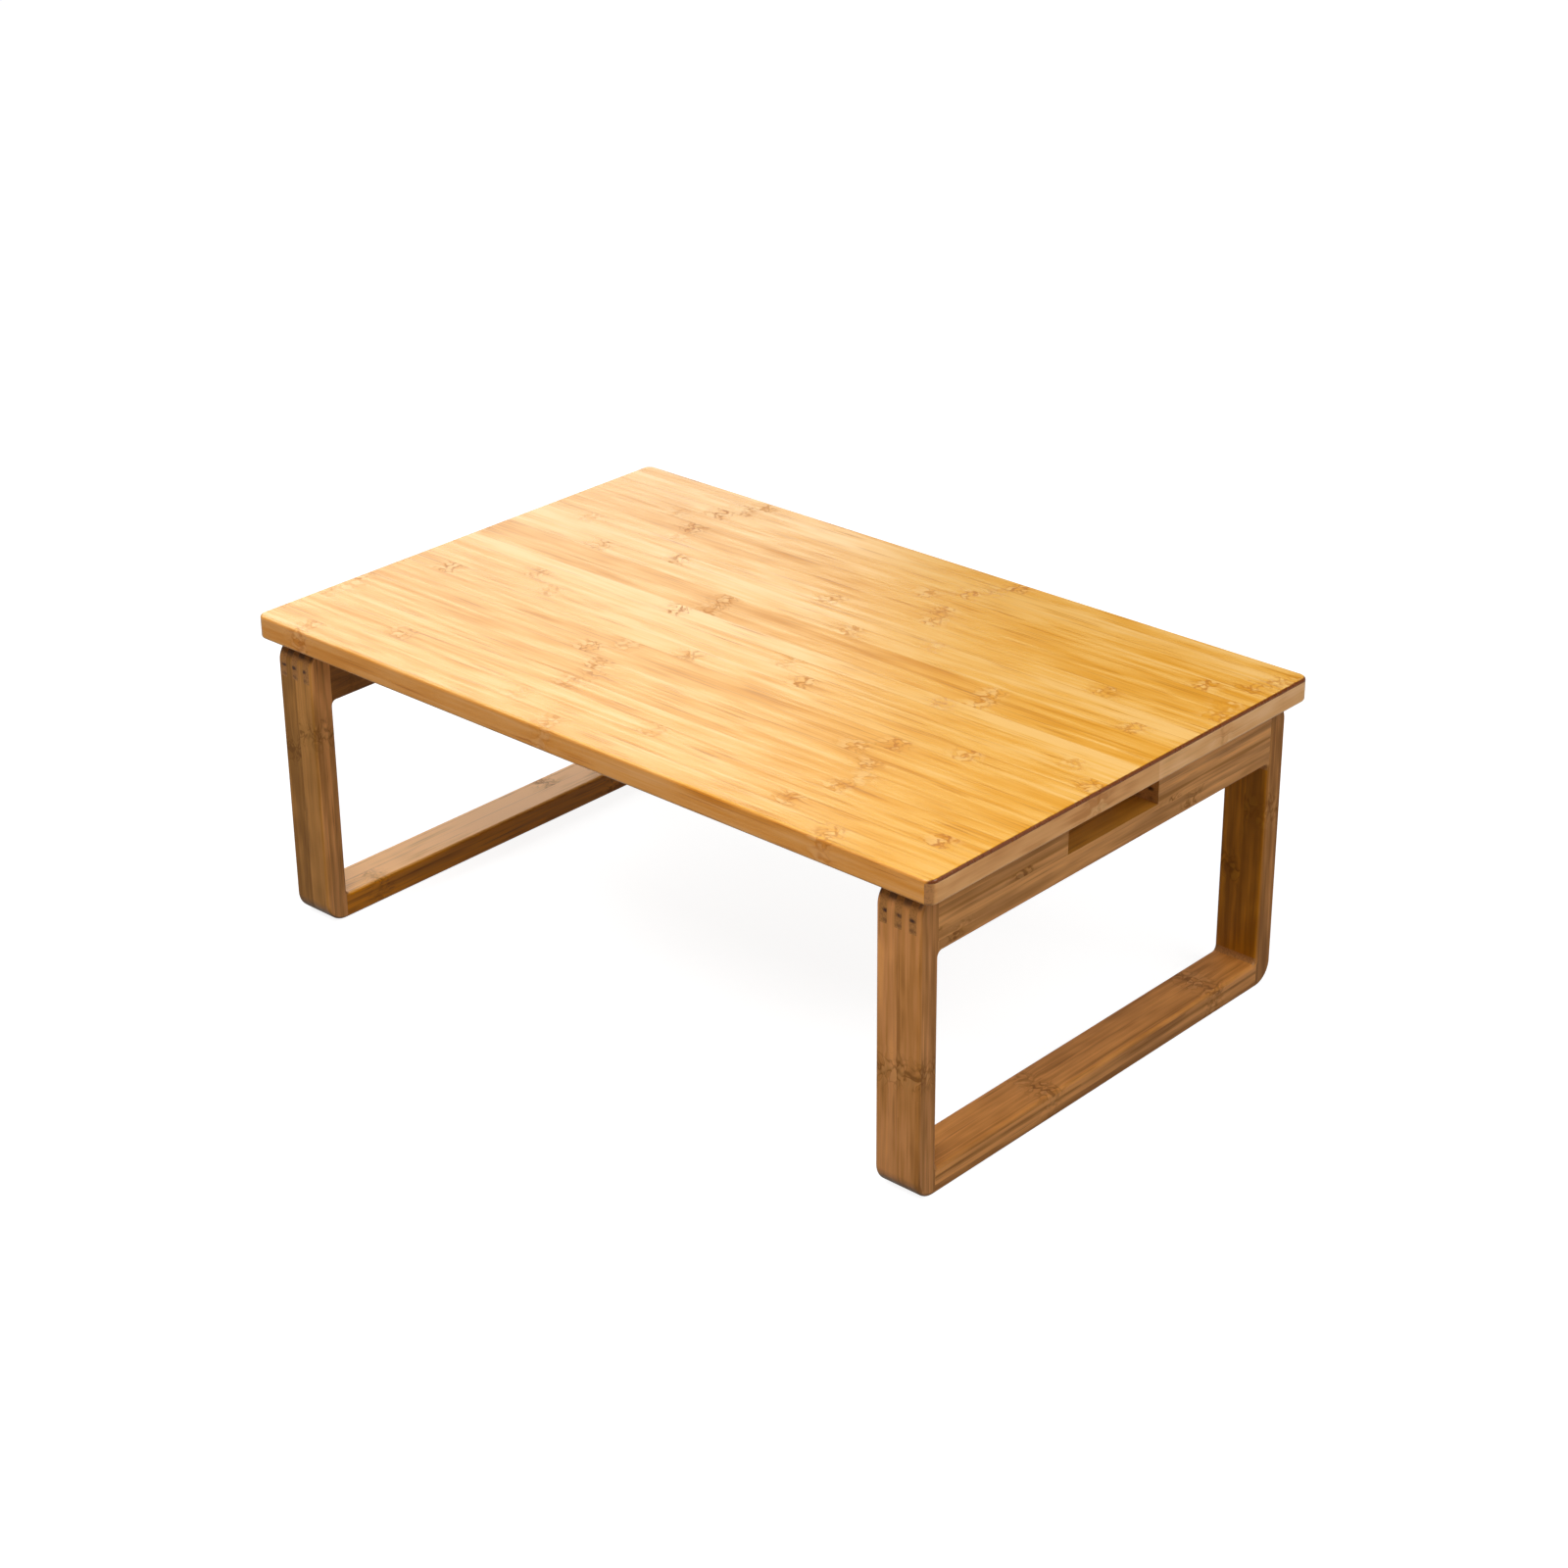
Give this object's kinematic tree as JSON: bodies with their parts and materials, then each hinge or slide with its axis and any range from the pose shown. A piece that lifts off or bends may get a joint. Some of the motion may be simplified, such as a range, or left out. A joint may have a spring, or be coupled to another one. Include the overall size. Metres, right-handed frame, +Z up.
{
  "type": "folding floor table",
  "caption": "Low rectangular bamboo floor table; its closed-loop end frames fold inward, flat under the top, on butt hinges.",
  "frame": {"origin": "on the floor under the middle of the table", "axes": "+X along the table's length, -Y towards the front long side, +Z up"},
  "size_m": [0.7, 0.45, 0.266],
  "materials": {
    "bamboo_top": "satin clear lacquer over laminated bamboo staves",
    "bamboo_band": "satin clear lacquer over cross-grain bamboo",
    "bamboo_leg": "satin clear lacquer over carbonised laminated bamboo",
    "bamboo_rail": "satin clear lacquer over carbonised laminated bamboo",
    "hinge_steel": "stamped and zinc plated",
    "pin_steel": "drawn wire, zinc plated",
    "screw_steel": "zinc plated"
  },
  "bodies": {
    "tabletop": {"top_panel": "bamboo_top", "left_end_band": "bamboo_band", "right_end_band": "bamboo_band", "left_front_top_leaf": "hinge_steel", "left_back_top_leaf": "hinge_steel", "right_front_top_leaf": "hinge_steel", "right_back_top_leaf": "hinge_steel", "left_front_hinge_pin": "pin_steel", "left_back_hinge_pin": "pin_steel", "right_front_hinge_pin": "pin_steel", "right_back_hinge_pin": "pin_steel", "left_front_top_screws": "screw_steel", "left_back_top_screws": "screw_steel", "right_front_top_screws": "screw_steel", "right_back_top_screws": "screw_steel"},
    "left_frame": {"left_front_leg": "bamboo_leg", "left_back_leg": "bamboo_leg", "left_front_upper_rail": "bamboo_rail", "left_back_upper_rail": "bamboo_rail", "left_lower_rail": "bamboo_rail", "left_foot_rail": "bamboo_rail", "left_front_frame_leaf": "hinge_steel", "left_back_frame_leaf": "hinge_steel", "left_front_frame_screws": "screw_steel", "left_back_frame_screws": "screw_steel"},
    "right_frame": {"right_front_leg": "bamboo_leg", "right_back_leg": "bamboo_leg", "right_front_upper_rail": "bamboo_rail", "right_back_upper_rail": "bamboo_rail", "right_lower_rail": "bamboo_rail", "right_foot_rail": "bamboo_rail", "right_front_frame_leaf": "hinge_steel", "right_back_frame_leaf": "hinge_steel", "right_front_frame_screws": "screw_steel", "right_back_frame_screws": "screw_steel"}
  },
  "joints": [
    {"name": "left_leg_fold", "type": "hinge", "parent": "tabletop", "child": "left_frame", "pos_m": [-0.29245, 0, 0.24295], "axis": [0, -1, 0], "range_deg": [0, 90]},
    {"name": "right_leg_fold", "type": "hinge", "parent": "tabletop", "child": "right_frame", "pos_m": [0.29245, 0, 0.24295], "axis": [0, 1, 0], "range_deg": [0, 90]}
  ]
}
